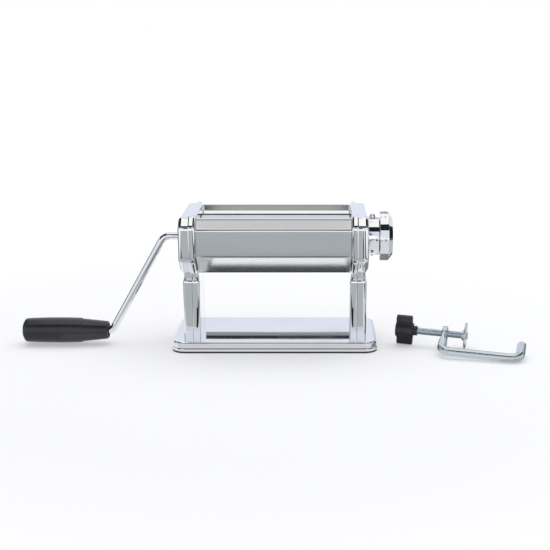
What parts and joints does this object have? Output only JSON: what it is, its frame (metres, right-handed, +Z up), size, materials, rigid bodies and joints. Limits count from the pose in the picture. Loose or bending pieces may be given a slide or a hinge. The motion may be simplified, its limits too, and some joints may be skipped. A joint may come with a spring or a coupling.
{
  "type": "pasta machine",
  "caption": "Hand-cranked pasta sheet roller in chromed steel on a base tray, with crank handle, thickness dial and a loose screw clamp beside it.",
  "frame": {"origin": "middle of the underside of the non-slip pad under the base, on the table", "axes": "+Z up, +X towards the thickness dial along the rollers, -X towards the crank, -Y towards the user's side with the broad front panel"},
  "size_m": [0.5073, 0.133, 0.1388],
  "materials": {
    "polished_steel": "polished",
    "chromed_sheet": "mirror bright chrome",
    "chromed_metal": "mirror bright chrome",
    "brushed_sheet": "satin",
    "roller_steel": "ground",
    "zinc_steel": "zinc plated",
    "zinc_plate": "bright bluish zinc",
    "gear_steel": "machined",
    "spring_steel": "plain",
    "nylon": "moulded",
    "rubber_pad": "matt",
    "black_grip": "gloss",
    "black_plastic": "satin"
  },
  "bodies": {
    "machine": {"base_tray": "polished_steel", "base_pad": "rubber_pad", "clamp_socket": "zinc_steel", "base_screws": "zinc_steel", "left_inner_cover": "chromed_sheet", "right_inner_cover": "chromed_sheet", "left_outer_cover": "chromed_sheet", "right_outer_cover": "chromed_sheet", "left_side_plate": "zinc_steel", "right_side_plate": "zinc_steel", "front_panel": "brushed_sheet", "rear_panel": "brushed_sheet", "tie_rods": "zinc_steel", "tie_nuts": "zinc_steel", "cover_posts": "zinc_steel", "cover_screws": "zinc_steel", "front_scraper": "brushed_sheet", "rear_scraper": "brushed_sheet", "front_roller_bushes": "nylon", "crank_bush": "chromed_sheet", "block_springs": "spring_steel", "dial_collar": "chromed_metal", "collar_lock_ring": "spring_steel", "collar_screws": "chromed_metal"},
    "bearing_carriage": {"left_bearing_block": "nylon", "right_bearing_block": "nylon", "cam_follower_pin": "zinc_steel"},
    "rear_roller_set": {"rear_roller": "roller_steel", "rear_gear": "gear_steel", "rear_gear_clip": "spring_steel"},
    "front_roller_set": {"front_roller": "roller_steel", "front_gear": "gear_steel", "front_gear_clip": "spring_steel"},
    "crank": {"crank_arm": "chromed_metal", "crank_drive_pin": "zinc_steel", "grip_retainer": "spring_steel"},
    "grip": {"crank_grip": "black_grip", "grip_plug": "black_grip"},
    "dial_shaft_set": {"dial_shaft": "zinc_steel", "dial_cam": "gear_steel", "shaft_washer": "zinc_steel", "shaft_screw": "zinc_steel"},
    "dial_knob_set": {"dial_knob": "chromed_metal", "dial_cap": "chromed_metal", "index_pin": "zinc_steel", "dial_spring": "spring_steel"},
    "clamp_hook_body": {"clamp_hook": "zinc_plate"},
    "pressure_disc_body": {"pressure_disc": "zinc_plate"},
    "clamp_screw_set": {"clamp_screw": "zinc_plate", "clamp_knob": "black_plastic"}
  },
  "joints": [
    {"name": "gap_slide", "type": "slide", "parent": "machine", "child": "bearing_carriage", "axis": [0, 1, 0], "range_m": [0, 0.0022], "deforming": ["block_springs"]},
    {"name": "rear_roller_spin", "type": "hinge", "parent": "bearing_carriage", "child": "rear_roller_set", "pos_m": [0, 0.0155, 0.1133], "axis": [1, 0, 0], "continuous": true},
    {"name": "crank_turn", "type": "hinge", "parent": "machine", "child": "front_roller_set", "pos_m": [0, -0.0155, 0.1133], "axis": [1, 0, 0], "continuous": true},
    {"name": "crank_pull", "type": "slide", "parent": "front_roller_set", "child": "crank", "axis": [-1, 0, 0], "range_m": [0, 0.03]},
    {"name": "grip_spin", "type": "hinge", "parent": "crank", "child": "grip", "pos_m": [-0.21, -0.0155, 0.0148], "axis": [1, 0, 0], "continuous": true},
    {"name": "gap_dial", "type": "hinge", "parent": "machine", "child": "dial_shaft_set", "pos_m": [0.1, -0.0155, 0.1133], "axis": [1, 0, 0], "range_deg": [0, 240.01]},
    {"name": "knob_pull", "type": "slide", "parent": "dial_shaft_set", "child": "dial_knob_set", "axis": [1, 0, 0], "range_m": [0, 0.0032], "stiffness_N_per_m": 1500, "springref_m": -0.002, "deforming": ["dial_spring"]},
    {"name": "clamp_lift", "type": "slide", "parent": "machine", "child": "clamp_hook_body", "axis": [0, 0, 1], "range_m": [0, 0.05]},
    {"name": "clamp_travel", "type": "slide", "parent": "clamp_hook_body", "child": "pressure_disc_body", "axis": [0.973, -0.2282, -0.0332], "range_m": [-0.008, 0.025]},
    {"name": "clamp_turn", "type": "hinge", "parent": "pressure_disc_body", "child": "clamp_screw_set", "pos_m": [0.1721, -0.02988, 0.01522], "axis": [0.973, -0.2282, -0.0332], "range_deg": [-2304.2, 7200.2]}
  ],
  "couplings": [
    {"joint": "gap_dial", "follows": "gap_slide", "rad_per_m": 1904},
    {"joint": "rear_roller_spin", "follows": "crank_turn", "ratio": -1},
    {"joint": "clamp_turn", "follows": "clamp_travel", "rad_per_m": 5026.5}
  ]
}
